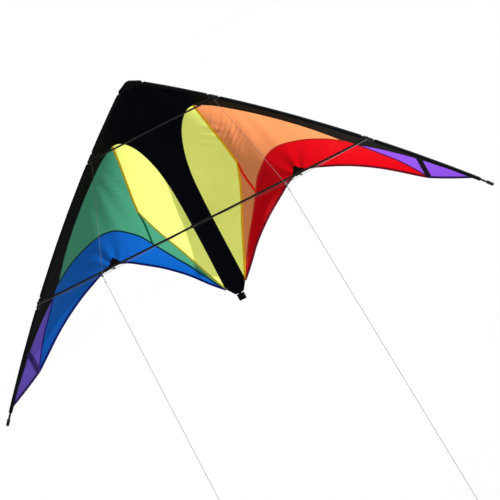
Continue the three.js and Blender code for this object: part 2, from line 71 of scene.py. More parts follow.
# Seams of the right half in millimetres, as (x, z).
SHOULDER = (112, 262)
KINK = (140, 74)
BAND_FOOT = (27, -187)
TAIL_CORNER = (12, -208)
STRIP_CORNER = (404, 8)
STRIP_STEP = (425, -12)
HEM_CORNER = (551, -168)
TIP_CORNER = (652, -212)
ARCH = [SHOULDER, (98, 261), (80, 250), (60, 224), (42, 178), (31, 120), (27, 50), (26, -60), BAND_FOOT]
STRIP = [SHOULDER, (150, 243), (194, 211), (240, 174), (300, 120), (345, 75), STRIP_CORNER]
TIP = [STRIP_STEP, (478, -50), (542, -104), (600, -161), TIP_CORNER]
YELLOW_UPPER = [SHOULDER, (119, 215), (128, 160), (136, 110), KINK]
YELLOW_LOWER = [KINK, (127, 35), (107, -13), (85, -58), BAND_FOOT]
DART = [KINK, (140, 40), (144, 5), (147, -16)]
OUTER = [
    STRIP_CORNER, (362, 32), (314, 50), (265, 60), (238, 60), (214, 52), (192, 36), (166, 12),
    (150, -12), (136, -33), (106, -73), (82, -103), BAND_FOOT,
]
VIOLET = [STRIP_STEP, (464, -56), (504, -101), HEM_CORNER]
HEM_INNER = [
    BAND_FOOT, (56, -160), (95, -122), (145, -87), (198, -58), (232, -39), (262, -30), (297, -33),
    (325, -43), (390, -69), (457, -104), HEM_CORNER,
]
HEM_OUTER = [HEM_CORNER, (600, -190), TIP_CORNER]
STRAP = [(548, -107), (551, -167)]
STRAP_WIDTH = 12
PATCH = [(259, -9), (246, -31), (262, -28.5), (281, -28.5)]
PATCH_RIM_WIDTH = 2.2
NOSE_OUTLINE = [(33, 373), (31, 380.5), (4, 393.5)]
SHOULDER_EDGE_X = 172
SAIL_EDGE_FROM = 24
SAIL_EDGE_TO = 656
STANDOFF_PUSH = (264, -30)

# Rods and sleeves in millimetres. A run is from one x to another along the leading edge.
STANDOFF_X = 266
STANDOFF_TIP = (267.5, 121, -36)
STANDOFF_R = 1.5
STANDOFF_START = 6
SPREADER_Y = -8.5
EDGE_ROD_R = 2.75
EDGE_ROD_RUNS = {"upper": (24, 299.7), "lower": (300.3, 685)}
SLEEVE_RUNS = {"nose": (36, 160), "middle": (184, 449), "tip": (473, 665)}
NOCK_R = 4.2
NOCK_RUN = (676, 688.5)

# Cloth details in metres: the ripstop grid, and the rows of stitches either side of a seam's middle.
RIPSTOP_GRID = 0.005
RIPSTOP_THREAD = 0.0006
STITCH_LENGTH = 0.0032
STITCH_ROW = 0.0014
STITCH_R = 0.00022

# Mesh fineness, in millimetres.
OUTLINE_STEP = 4.0
CLOTH_STEP = 3.0
WEBBING_STEP = 0.9

# The flying lines, in millimetres, as the CAD model has them.
TOW = (242, -236, 44)
LINE_DIRECTION = Vector((0.098, -0.69, -0.718)).normalized()
LINE_LENGTHS = {"left": 700, "right": 955}
LINE_R = 0.6
LINE_GAP = 0.4
END_KNOT_GAP = 2.4
END_KNOT_R = 1.9
LOOP_HALF_WIDTH = 6.8
LOOP_HALF_LENGTH = 14

# The bridles, in millimetres. LEG_ENDS is how far a leg stops short of its anchor and of the tow knot.
PIGTAIL = 22
PIGTAIL_R = 0.9
TOW_KNOT_R = 3
STOPPER_KNOT_R = 1.8
LEG_R = 0.45
LEG_ENDS = (0.5, 1.5)
BRIDLE_ANCHORS = {"upper": (168, -13.2, 259), "outer": (458, -13.2, 0), "inner": (5, -13.2, 0)}

# The camera, as a direction round the object, a distance and a turn about its own axis. Angles are in
# degrees, lengths in metres and the sensor in millimetres.
SENSOR_WIDTH = 36
CAMERA_AZIMUTH = 6.3
CAMERA_ELEVATION = 12.9
CAMERA_ROLL = -28.1
CAMERA_DISTANCE = 4.5
VIEW_WIDTH = 1.2386
AIM_RIGHT = 0.1202
AIM_UP = -0.0715

# Light, with angles in degrees. The low sun stands almost abeam of the right wing and a little behind it, so
# one wing shades the other.
SUN_FROM = (1.0, 0.3, 0.25)
SUN_STRENGTH = 10.0
SUN_ANGLE = 1.5
FILL_FROM = (0.0, -0.1, 1.0)
FILL_STRENGTH = 0.6
FILL_ANGLE = 40
SKY_STRENGTH = 0.5
FLOOR_COLOUR = (0.7, 0.7, 0.7, 1)
FLOOR_REACH = 160.0
FLOOR_Z = -3.0
FLOOR_ROWS = 8


# ---- Shape of the sail ----

def smooth01(low, high, value):
    u = min(1.0, max(0.0, (value - low) / (high - low)))
    return u * u * (3 - 2 * u)


def half_width(drop):
    """The x at which the leading edge lies this far below the apex."""
    return (-EDGE_SLOPE + math.sqrt(EDGE_SLOPE**2 + 4 * EDGE_BOW * drop)) / (2 * EDGE_BOW)


def belly(x, z):
    """How far the smooth sail stands behind the leading edges."""
    drop = max(1.0, APEX_Z - z)
    across = min(1.0, abs(x) / half_width(drop))
    depth = BELLY_PER_DROP * drop * (1 - BELLY_FADE * smooth01(BELLY_FADE_FROM, BELLY_FADE_TO, drop))
    skew = math.log(0.5) / math.log(BELLY_PEAK_ACROSS)
    return depth * math.sin(math.pi * across**skew)


def bump_at(x, z, centre, radius):
    """A smooth bump of height 1 at the centre."""
    away = math.hypot(x - centre[0], z - centre[1]) / radius
    return math.exp(-away * away)


def wrinkles(x, z):
    """Small folds of the taut cloth in millimetres, strongest where the right wing puckers at its seam."""
    side = 1 if x > 0 else -1
    a = abs(x)
    to_edge = APEX_Z - EDGE_SLOPE * a - EDGE_BOW * a * a - z
    held = smooth01(14, 70, to_edge) * smooth01(24, 60, a)
    # Long folds that fan out over the wing.
    fan = math.atan2(a - 190, 330 - z)
    folds = 1.2 * math.sin(30 * fan + 0.8 * side) * bump_at(a, z, (240, 120), 95)
    # Short puckers across the yellow panel's outer seam, and broader ones inside it.
    drift = 1.2 * math.sin((a + z) / 19)
    ripple = math.sin((0.74 * a - 0.66 * z) / 2.1 + drift) + 0.5 * math.sin((a - 0.5 * z) / 4.3)
    pucker = 0.75 * ripple * bump_at(a, z, (152, 152), 46)
    inner = 1.3 * math.sin((a + 1.2 * z) / 5.0 + math.sin(z / 23)) * bump_at(a, z, (108, 170), 34)
    # Creases that spread from where the standoff pushes, and a shallow roll towards the tip.
    push_x, push_z = STANDOFF_PUSH
    spread = math.atan2(a - push_x, z - push_z + 12)
    crease = 2.0 * math.cos(9 * spread) * bump_at(a, z, (push_x, push_z + 30), 40)
    shallow = 0.9 * math.sin((a - 0.8 * z) / 9.0 + side) * bump_at(a, z, (380, 10), 80)
    slack = 1.0 if side > 0 else 0.25
    return held * (folds + slack * (pucker + inner) + crease + shallow)


def sail_point(x, z, ahead=0.0):
    """A point on the sail, or a little in front of it, in metres."""
    return Vector((x, belly(x, z) + wrinkles(x, z) - ahead, z)) * MM


def edge_point(x, inset):
    """A point on the leading edge in the frame's plane, moved in from the outer edge."""
    steep = EDGE_SLOPE + 2 * EDGE_BOW * x
    long = math.hypot(steep, 1)
    z = APEX_Z - EDGE_SLOPE * x - EDGE_BOW * x * x
    return (x - inset * steep / long, z - inset / long)


def edge_line(from_x, to_x, inset, step=12.0):
    count = max(2, round(abs(to_x - from_x) / step))
    return [edge_point(from_x + (to_x - from_x) * i / count, inset) for i in range(count + 1)]


def smooth(points, step=OUTLINE_STEP):
    """The centripetal Catmull-Rom line through (x, z) points."""
    corners = [Vector(p) for p in points]
    corners = [corners[0] * 2 - corners[1], *corners, corners[-1] * 2 - corners[-2]]
    line = []
    for a, b, c, d in zip(corners, corners[1:], corners[2:], corners[3:]):
        t1 = math.sqrt((b - a).length)
        t2 = t1 + math.sqrt((c - b).length)
        t3 = t2 + math.sqrt((d - c).length)
        count = max(1, round((c - b).length / step))
        for i in range(count):
            t = t1 + (t2 - t1) * i / count
            p, q, r = a.lerp(b, t / t1), b.lerp(c, (t - t1) / (t2 - t1)), c.lerp(d, (t - t2) / (t3 - t2))
            before, after = p.lerp(q, t / t2), q.lerp(r, (t - t1) / (t3 - t1))
            line.append(tuple(before.lerp(after, (t - t1) / (t2 - t1))))
    line.append(tuple(points[-1]))
    return line


def join_lines(*lines):
    """One closed outline through several lines, without doubled corners."""
    outline = []
    for point in (p for line in lines for p in line):
        if not outline or math.dist(outline[-1], point) > 0.01:
            outline.append(point)
    if math.dist(outline[0], outline[-1]) < 0.01:
        outline.pop()
    return outline


def mirrored(line, side):
    return [(side * x, z) for x, z in line]


# ---- Materials ----

def srgb(red, green, blue):
    """A colour given on the 0 to 255 display scale, as linear light."""
    def linear(v):
        v /= 255
        return v / 12.92 if v <= 0.04045 else ((v + 0.055) / 1.055) ** 2.4
    return (linear(red), linear(green), linear(blue), 1.0)


def new_material(name):
    material = bpy.data.materials.new(name)
    material.use_nodes = True
    tree = material.node_tree
    tree.nodes.clear()
    return material, tree


def show(tree, shader):
    out = tree.nodes.new("ShaderNodeOutputMaterial")
    tree.links.new(shader.outputs[0], out.inputs["Surface"])


def raise_surface(tree, shaders, height, strength, distance):
    """Bumps the shaders' surface by a height from 0 to 1 over a distance in metres."""
    bump = tree.nodes.new("ShaderNodeBump")
    bump.inputs["Strength"].default_value = strength
    bump.inputs["Distance"].default_value = distance
    tree.links.new(height, bump.inputs["Height"])
    for shader in shaders:
        tree.links.new(bump.outputs["Normal"], shader.inputs["Normal"])


def maths(tree, operation, first, second=0.0):
    made = tree.nodes.new("ShaderNodeMath")
    made.operation = operation
    for slot, value in enumerate((first, second)):
        if isinstance(value, (int, float)):
            made.inputs[slot].default_value = value
        else:
            tree.links.new(value, made.inputs[slot])
    return made.outputs[0]


def thread_lines(tree, coordinate, spacing, width):
    """1 on thin lines a fixed spacing apart along a coordinate in metres, and 0 between them."""
    phase = maths(tree, "FRACT", maths(tree, "MULTIPLY", coordinate, 1 / spacing))
    off = maths(tree, "ABSOLUTE", maths(tree, "SUBTRACT", phase, 0.5))
    return maths(tree, "LESS_THAN", off, width / spacing / 2)


def varied_colour(tree, position, color, amount, scale=9.0):
    """The base colour, drifting a little lighter and darker over the cloth."""
    noise = tree.nodes.new("ShaderNodeTexNoise")
    noise.inputs["Scale"].default_value = scale
    noise.inputs["Detail"].default_value = 3
    tree.links.new(position, noise.inputs["Vector"])
    ramp = tree.nodes.new("ShaderNodeValToRGB")
    dark = [c * (1 - amount) for c in color[:3]] + [1]
    light = [min(1, c * (1 + amount)) for c in color[:3]] + [1]
    ramp.color_ramp.elements[0].position = 0.3
    ramp.color_ramp.elements[1].position = 0.7
    ramp.color_ramp.elements[0].color = dark
    ramp.color_ramp.elements[1].color = light
    tree.links.new(noise.outputs["Fac"], ramp.inputs["Fac"])
    return ramp.outputs["Color"]


def object_position(tree):
    texture = tree.nodes.new("ShaderNodeTexCoord")
    split = tree.nodes.new("ShaderNodeSeparateXYZ")
    tree.links.new(texture.outputs["Object"], split.inputs[0])
    return texture.outputs["Object"], split.outputs


def ripstop(name, color, glow=0.5, through=None, shine=0.08):
    """Coated ripstop: a fine plain weave with a grid of thicker threads, and light coming through it."""
    material, tree = new_material(name)
    position, axes = object_position(tree)
    base = varied_colour(tree, position, color, 0.05)
    grid = maths(
        tree, "MAXIMUM",
        thread_lines(tree, axes[0], RIPSTOP_GRID, RIPSTOP_THREAD),
        thread_lines(tree, axes[2], RIPSTOP_GRID, RIPSTOP_THREAD),
    )
    weave = tree.nodes.new("ShaderNodeTexWave")
    weave.wave_type = "BANDS"
    weave.inputs["Scale"].default_value = 900
    tree.links.new(position, weave.inputs["Vector"])
    height = maths(tree, "ADD", grid, maths(tree, "MULTIPLY", weave.outputs["Fac"], 0.25))
    shade = tree.nodes.new("ShaderNodeMixRGB")
    shade.blend_type = "MULTIPLY"
    shade.inputs["Color2"].default_value = (0.9, 0.9, 0.9, 1)
    tree.links.new(maths(tree, "MULTIPLY", grid, 0.6), shade.inputs["Fac"])
    tree.links.new(base, shade.inputs["Color1"])
    cloth = tree.nodes.new("ShaderNodeBsdfPrincipled")
    cloth.inputs["Roughness"].default_value = 0.5
    cloth.inputs["Specular IOR Level"].default_value = shine
    tree.links.new(shade.outputs["Color"], cloth.inputs["Base Color"])
    lit = tree.nodes.new("ShaderNodeBsdfTranslucent")
    lit.inputs["Color"].default_value = through or color
    raise_surface(tree, (cloth, lit), height, 0.25, 0.0002)
    mix = tree.nodes.new("ShaderNodeMixShader")
    mix.inputs["Fac"].default_value = glow
    tree.links.new(cloth.outputs[0], mix.inputs[1])
    tree.links.new(lit.outputs[0], mix.inputs[2])
    show(tree, mix)
    return material


def woven(name, color, spacing=0.0016, roughness=0.75):
    """Woven tape: diagonal ribs, seen as fine bump, in a slightly uneven colour."""
    material, tree = new_material(name)
    position, _ = object_position(tree)
    ribs = tree.nodes.new("ShaderNodeTexWave")
    ribs.wave_type = "BANDS"
    ribs.bands_direction = "DIAGONAL"
    ribs.inputs["Scale"].default_value = 1 / spacing / 6
    ribs.inputs["Distortion"].default_value = 0.6
    tree.links.new(position, ribs.inputs["Vector"])
    cloth = tree.nodes.new("ShaderNodeBsdfPrincipled")
    cloth.inputs["Roughness"].default_value = roughness
    cloth.inputs["Specular IOR Level"].default_value = 0.08
    tree.links.new(varied_colour(tree, position, color, 0.2, 40), cloth.inputs["Base Color"])
    raise_surface(tree, (cloth,), ribs.outputs["Fac"], 0.12, 0.0003)
    show(tree, cloth)
    return material


def stitched(name, color, thread, glow=0.25):
    """A seam or hem: doubled cloth with two rows of stitches. Its UV map is in metres along and across."""
    material, tree = new_material(name)
    uv = tree.nodes.new("ShaderNodeUVMap")
    uv.uv_map = "along"
    split = tree.nodes.new("ShaderNodeSeparateXYZ")
    tree.links.new(uv.outputs[0], split.inputs[0])
    phase = maths(tree, "FRACT", maths(tree, "MULTIPLY", split.outputs[0], 1 / STITCH_LENGTH))
    dash = maths(tree, "LESS_THAN", phase, 0.7)
    off = maths(tree, "SUBTRACT", maths(tree, "ABSOLUTE", split.outputs[1]), STITCH_ROW)
    row = maths(tree, "LESS_THAN", maths(tree, "ABSOLUTE", off), STITCH_R)
    stitch = maths(tree, "MULTIPLY", dash, row)
    position, _ = object_position(tree)
    tint = tree.nodes.new("ShaderNodeMixRGB")
    tint.inputs["Color2"].default_value = thread
    tree.links.new(maths(tree, "MULTIPLY", stitch, 0.8), tint.inputs["Fac"])
    tree.links.new(varied_colour(tree, position, color, 0.12, 60), tint.inputs["Color1"])
    cloth = tree.nodes.new("ShaderNodeBsdfPrincipled")
    cloth.inputs["Roughness"].default_value = 0.55
    cloth.inputs["Specular IOR Level"].default_value = 0.1
    tree.links.new(tint.outputs[0], cloth.inputs["Base Color"])
    raise_surface(tree, (cloth,), stitch, 0.6, 0.0003)
    lit = tree.nodes.new("ShaderNodeBsdfTranslucent")
    lit.inputs["Color"].default_value = color
    mix = tree.nodes.new("ShaderNodeMixShader")
    mix.inputs["Fac"].default_value = glow
    tree.links.new(cloth.outputs[0], mix.inputs[1])
    tree.links.new(lit.outputs[0], mix.inputs[2])
    show(tree, mix)
    return material


def moulded(name, color, roughness, grain=0.15, scale=700.0, coat=0.0):
    """Hard plastic or a wrapped rod: a slight grain in the surface, and small scuffs in its sheen."""
    material, tree = new_material(name)
    position, _ = object_position(tree)
    grains = tree.nodes.new("ShaderNodeTexNoise")
    grains.inputs["Scale"].default_value = scale
    tree.links.new(position, grains.inputs["Vector"])
    scuffs = tree.nodes.new("ShaderNodeTexNoise")
    scuffs.inputs["Scale"].default_value = 55
    tree.links.new(position, scuffs.inputs["Vector"])
    rough = maths(tree, "ADD", maths(tree, "MULTIPLY", scuffs.outputs["Fac"], 0.2), roughness - 0.1)
    plastic = tree.nodes.new("ShaderNodeBsdfPrincipled")
    plastic.inputs["Specular IOR Level"].default_value = 0.2
    plastic.inputs["Coat Weight"].default_value = coat
    plastic.inputs["Coat Roughness"].default_value = 0.2
    tree.links.new(varied_colour(tree, position, color, 0.15, 80), plastic.inputs["Base Color"])
    tree.links.new(rough, plastic.inputs["Roughness"])
    raise_surface(tree, (plastic,), grains.outputs["Fac"], grain, 0.0002)
    show(tree, plastic)
    return material


def braid(name, color):
    """Braided line: fine diagonal strands in bump, in an almost even grey."""
    material, tree = new_material(name)
    position, _ = object_position(tree)
    strands = tree.nodes.new("ShaderNodeTexWave")
    strands.bands_direction = "DIAGONAL"
    strands.inputs["Scale"].default_value = 260
    tree.links.new(position, strands.inputs["Vector"])
    line = tree.nodes.new("ShaderNodeBsdfPrincipled")
    line.inputs["Roughness"].default_value = 0.6
    tree.links.new(varied_colour(tree, position, color, 0.04, 200), line.inputs["Base Color"])
    raise_surface(tree, (line,), strands.outputs["Fac"], 0.4, 0.0002)
    show(tree, line)
    return material


def make_materials():
    return {
        "black": ripstop("black_ripstop", srgb(0, 2, 7), glow=0.01, shine=0.03),
        "smoke": ripstop(
            "smoke_ripstop", srgb(3, 7, 10), glow=0.22, through=srgb(34, 28, 20), shine=0.03,
        ),
        "yellow": ripstop("yellow_ripstop", srgb(234, 243, 122), glow=0.3),
        "green": ripstop("green_ripstop", srgb(58, 130, 101)),
        "orange": ripstop("orange_ripstop", srgb(206, 126, 78)),
        "blue": ripstop("blue_ripstop", srgb(8, 80, 162)),
        "red": ripstop("red_ripstop", srgb(178, 0, 12)),
        "left_violet": ripstop("left_violet_ripstop", srgb(94, 72, 172)),
        "right_violet": ripstop("right_violet_ripstop", srgb(112, 62, 180)),
        "gold_seam": stitched("gold_seam", srgb(205, 165, 10), srgb(235, 215, 60)),
        "olive_seam": stitched("olive_seam", srgb(176, 180, 60), srgb(215, 215, 110)),
        "amber_seam": stitched("amber_seam", srgb(226, 172, 0), srgb(250, 205, 60)),
        "teal_seam": stitched("teal_seam", srgb(0, 58, 72), srgb(8, 88, 98)),
        "crimson_seam": stitched("crimson_seam", srgb(196, 30, 20), srgb(220, 60, 40)),
        "green_dart": stitched("green_dart", srgb(8, 108, 74), srgb(30, 140, 100)),
        "red_dart": stitched("red_dart", srgb(228, 24, 0), srgb(250, 90, 40)),
        "black_seam": stitched("black_seam", srgb(3, 3, 6), srgb(16, 16, 20), glow=0.0),
        "navy_hem": stitched("navy_hem", srgb(0, 4, 92), srgb(20, 40, 140)),
        "maroon_hem": stitched("maroon_hem", srgb(98, 0, 24), srgb(150, 30, 50)),
        "plum_hem": stitched("plum_hem", srgb(40, 22, 82), srgb(70, 50, 120)),
        "webbing": woven("black_webbing", srgb(5, 5, 7)),
        "sleeve": woven("black_sleeve", srgb(3, 5, 8), spacing=0.001, roughness=0.7),
        "rod": moulded("black_rod", srgb(5, 5, 6), 0.4, grain=0.08, scale=1200, coat=0.06),
        "vinyl": moulded("black_vinyl", srgb(6, 6, 7), 0.5),
        "left_strap": woven("left_violet_strap", srgb(40, 27, 86)),
        "right_strap": woven("right_violet_strap", srgb(26, 16, 24)),
        "indigo_seam": stitched("indigo_seam", srgb(22, 20, 120), srgb(40, 40, 150)),
        "plum_seam": stitched("plum_seam", srgb(120, 4, 70), srgb(150, 30, 100)),
        "line": braid("grey_line", srgb(96, 98, 100)),
        "leg": braid("grey_leg", srgb(66, 66, 70)),
    }


# ---- Pieces ----

def add_object(name, mesh, material):
    piece = bpy.data.objects.new(name, mesh)
    bpy.context.scene.collection.objects.link(piece)
    mesh.materials.append(material)
    for polygon in mesh.polygons:
        polygon.use_smooth = True
    return piece


def settle(piece, nodes=(), body=ROOT):
    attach(piece, body)
    if nodes:
        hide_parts(*nodes)
    return piece


def inside(points, outline):
    """Which points lie inside an outline, by crossings to the right."""
    hit = np.zeros(len(points), bool)
    x, z = points[:, 0], points[:, 1]
    for (ax, az), (bx, bz) in zip(outline, outline[1:] + outline[:1]):
        if az == bz:
            continue
        crosses = (az > z) != (bz > z)
        hit ^= crosses & (x < (bx - ax) * (z - az) / (bz - az) + ax)
    return hit


def far_from(points, outline, gap):
    """Which points are at least gap from every corner of an outline."""
    corners = np.array(outline)
    apart = np.hypot(points[:, None, 0] - corners[None, :, 0], points[:, None, 1] - corners[None, :, 1])
    return apart.min(1) > gap


def surface_area(piece):
    return sum(p.area for p in piece.data.polygons)


def flat_size(outline, area):
    """A panel's mean width and its length, since a crescent fills too little of the rectangle round it.

    The length is the long side of the smallest rectangle, let out by as much as the belly adds to it.
    """
    flat = np.array(outline) * MM
    sizes = []
    for turn in np.radians(range(0, 90, 3)):
        across = flat @ np.array([math.cos(turn), math.sin(turn)])
        along = flat @ np.array([-math.sin(turn), math.cos(turn)])
        sizes.append(sorted((np.ptp(across), np.ptp(along))))
    _, length = min(sizes, key=lambda size: size[0] * size[1])
    x, z = flat[:, 0], flat[:, 1]
    plan_area = abs(np.dot(x, np.roll(z, -1)) - np.dot(z, np.roll(x, -1))) / 2
    length *= math.sqrt(area / plan_area)
    return area / length, length


def cloth_panel(name, outline, material, ahead=0.0):
    """A panel of the sail as one fine curved sheet inside its outline."""
    corners = np.array(outline)
    low, high = corners.min(0), corners.max(0)
    grid = np.array([
        (x + (0.5 * CLOTH_STEP if row % 2 else 0), z)
        for row, z in enumerate(np.arange(low[1], high[1], CLOTH_STEP * 0.87))
        for x in np.arange(low[0], high[0], CLOTH_STEP)
    ])
    grid = grid[inside(grid, outline)]
    grid = grid[far_from(grid, outline, 0.6 * OUTLINE_STEP)]
    points = [Vector(p) for p in outline] + [Vector(p) for p in grid]
    verts, _, faces, *_ = delaunay_2d_cdt(points, [], [list(range(len(outline)))], 1, 1e-4)
    mesh = bpy.data.meshes.new(name)
    mesh.from_pydata([sail_point(v.x, v.y, ahead) for v in verts], [], [list(reversed(f)) for f in faces])
    mesh.update()
    return add_object(name, mesh, material)


def add_sail(materials):
    """Every panel of the sail, each replacing its CAD slab."""
    arch, strip, tip = smooth(ARCH), smooth(STRIP), smooth(TIP)
    yellow_upper, yellow_lower = smooth(YELLOW_UPPER), smooth(YELLOW_LOWER)
    outer, violet = smooth(OUTER), smooth(VIOLET)
    step = smooth([STRIP_CORNER, STRIP_STEP])
    shoulder = smooth([SHOULDER, edge_point(SHOULDER_EDGE_X, SAIL_INSET)])
    edge = edge_line(SAIL_EDGE_TO, SHOULDER_EDGE_X, SAIL_INSET)
    nose = edge_line(SAIL_EDGE_FROM, SHOULDER_EDGE_X, SAIL_INSET)
    outlines = {
        "yellow": join_lines(arch, yellow_lower[::-1], yellow_upper[::-1]),
        "middle": join_lines(strip, outer, yellow_lower[::-1], yellow_upper[::-1]),
        "outer": join_lines(outer, smooth(HEM_INNER), violet[::-1], step[::-1]),
        "violet": join_lines(violet, smooth(HEM_OUTER), tip[::-1]),
        "strip": join_lines(strip, step, tip, edge, shoulder[::-1]),
    }
    half = join_lines([(0, SAIL_TOP_Z)], nose, shoulder[::-1], arch, [TAIL_CORNER, (0, TAIL_CORNER[1] - 2)])
    centre = half + mirrored(half[1:-1], -1)[::-1]
    plan = [("center_black_panel", centre, "black", "sail_black")]
    colours = {
        "left": {"yellow": "yellow", "middle": "green", "outer": "blue"},
        "right": {"yellow": "yellow", "middle": "orange", "outer": "red"},
    }
    for name, side in SIDES.items():
        for part, colour in colours[name].items():
            outline = mirrored(outlines[part], side)
            plan.append((f"{name}_{colour}_panel", outline, colour, f"sail_{colour}"))
        outline = mirrored(outlines["violet"], side)
        plan.append((f"{name}_violet_tip_panel", outline, f"{name}_violet", "sail_violet"))
        outline = mirrored(outlines["strip"], side)
        plan.append((f"{name}_edge_strip_panel", outline, "smoke", "sail_smoke"))
    for cad_name, outline, colour, slot in plan:
        piece = cloth_panel(cad_name.replace("panel", "cloth"), outline, materials[colour])
        settle(piece, [cad_name])
        area = surface_area(frame["nodes"][cad_name]) / 2
        flat = flat_size(outline, area)


def ribbon(name, line, width, material, ahead=0.35, crown=0.35, columns=5, side=1):
    """A strip of cloth that follows a line on the sail, crowned along its middle, in front of the sail."""
    line = mirrored(line, side)
    verts, uvs, faces = [], [], []
    run = 0.0
    for i, (x, z) in enumerate(line):
        ax, az = line[max(0, i - 1)]
        bx, bz = line[min(len(line) - 1, i + 1)]
        long = math.hypot(bx - ax, bz - az)
        nx, nz = -(bz - az) / long, (bx - ax) / long
        if i:
            run += math.dist(line[i - 1], line[i])
        for c in range(columns):
            across = c / (columns - 1) - 0.5
            rise = ahead + crown * (1 - (2 * across) ** 4)
            verts.append(sail_point(x + nx * across * width, z + nz * across * width, rise))
            uvs.append((run * MM, across * width * MM))
    for i in range(len(line) - 1):
        for c in range(columns - 1):
            a = i * columns + c
            faces.append((a, a + 1, a + columns + 1, a + columns))
    mesh = bpy.data.meshes.new(name)
    mesh.from_pydata(verts, [], faces)
    layer = mesh.uv_layers.new(name="along")
    for loop in mesh.loops:
        layer.data[loop.index].uv = uvs[loop.vertex_index]
    return add_object(name, mesh, material)


def add_seams(materials):
    """Felled seams between panels, the dart, and the hem along the trailing edge.

    Each row gives the line, the width, the left and right look, and the left and right slot.
    """
    black = ("black_seam", "black_seam")
    inner = ("sail_green", "sail_orange")
    outer = ("sail_blue", "sail_red")
    seams = {
        "arch_seam": (ARCH, 3.0, black, ("sail_black",) * 2),
        "strip_seam": (STRIP, 3.0, black, ("sail_black",) * 2),
        "tip_seam": (TIP, 3.0, black, ("sail_black",) * 2),
        "upper_yellow_seam": (YELLOW_UPPER, 5.5, ("gold_seam", "amber_seam"), ("sail_yellow",) * 2),
        "lower_yellow_seam": (YELLOW_LOWER, 5.5, ("olive_seam", "amber_seam"), ("sail_yellow",) * 2),
        "outer_seam": (OUTER, 4.6, ("teal_seam", "crimson_seam"), outer),
        "violet_seam": (VIOLET, 3.6, ("indigo_seam", "plum_seam"), ("sail_violet",) * 2),
        "dart_seam": (DART, 5.5, ("green_dart", "red_dart"), inner),
        "inner_hem": (HEM_INNER, 6.0, ("navy_hem", "maroon_hem"), outer),
        "outer_hem": (HEM_OUTER, 6.0, ("plum_hem", "plum_hem"), ("sail_violet",) * 2),
    }
    for place, (name, side) in enumerate(SIDES.items()):
        for seam, (points, width, looks, slots) in seams.items():
            piece = ribbon(f"{name}_{seam}", smooth(points), width, materials[looks[place]], side=side)
            settle(piece)


def to_rim(point, outline):
    """The distance from a point to the nearest side of an outline, in millimetres."""
    best = math.inf
    for start, end in zip(outline, outline[1:] + outline[:1]):
        a, b = Vector(start), Vector(end)
        along = b - a
        t = min(1.0, max(0.0, (Vector(point) - a).dot(along) / along.length_squared))
        best = min(best, (Vector(point) - a - along * t).length)
    return best


def folded_webbing(name, outline, front, back, material, roll=4.5, stitch_in=4.0):
    """Heavy webbing folded round an end, with rolled edges and a sunk row of stitching, front and back."""
    corners = np.array(outline)
    low, high = corners.min(0), corners.max(0)
    grid = np.array([
        (x, z)
        for x in np.arange(low[0], high[0], WEBBING_STEP)
        for z in np.arange(low[1], high[1], WEBBING_STEP)
    ])
    grid = grid[inside(grid, outline)]
    dense = []
    for start, end in zip(outline, outline[1:] + outline[:1]):
        count = max(1, round(math.dist(start, end)))
        dense += [tuple(Vector(start).lerp(Vector(end), i / count)) for i in range(count)]
    grid = [p for p in grid if to_rim(p, outline) > 0.5]
    points = [Vector(p) for p in dense] + [Vector(p) for p in grid]
    flat, _, faces, *_ = delaunay_2d_cdt(points, [], [list(range(len(dense)))], 1, 1e-4)
    rim = {k for k, v in enumerate(flat) if to_rim(v, outline) < 0.01}
    faces = [f for f in faces if not rim.issuperset(f)]
    used = {k for f in faces for k in f}
    half = (back - front) / 2
    verts, triangles, fronts = [], [], []
    for sign in (-1, 1):
        ids = []
        for k, v in enumerate(flat):
            if k not in used:
                ids.append(None)
                continue
            if sign > 0 and k in rim:
                ids.append(fronts[k])
                continue
            d = to_rim(v, outline)
            inner = roll - min(d, roll)
            swell = math.sqrt(max(0.0, roll * roll - inner * inner)) / roll
            dash = 0.5 + 0.5 * math.cos(2 * math.pi * (v.x + v.y) / 3.2)
            sunk = (0.35 + 0.25 * dash) * math.exp(-(((d - stitch_in) / 0.7) ** 2))
            ids.append(len(verts))
            y = (front + back) / 2 + sign * max(0.0, half * swell - sunk)
            verts.append(Vector((v.x, y, v.y)) * MM)
        fronts = fronts or ids
        triangles += [[ids[i] for i in (f if sign < 0 else reversed(f))] for f in faces]
    mesh = bpy.data.meshes.new(name)
    mesh.from_pydata(verts, [], triangles)
    return add_object(name, mesh, material)


def coil_knot(name, centre, radius, cord, turns, material):
    """A barrel knot: a few turns of cord wound round the line at a point, in metres."""
    across = LINE_DIRECTION.cross(Vector((0, 0, 1))).normalized()
    over = LINE_DIRECTION.cross(across)
    steps = 14 * turns
    path = []
    for i in range(steps + 1):
        a = 2 * math.pi * turns * i / steps
        shift = (i / steps - 0.5) * turns * 2.1 * cord
        round_in = radius - cord - 0.25 * radius * (2 * i / steps - 1) ** 2
        out = across * math.cos(a) + over * math.sin(a)
        path.append(centre + LINE_DIRECTION * shift + out * round_in)
    return tube(name, path, cord, material, 8)


def tail_outline():
    """The tail webbing's outline, from its CAD box, with the lower corners cut off."""
    low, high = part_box("tail_webbing")
    x, bottom, top = high.x / MM, low.z / MM, high.z / MM
    foot = [(x, bottom + 2), (x - 1, bottom), (1 - x, bottom), (-x, bottom + 2)]
    return [*foot, (-x, top), (x, top)]


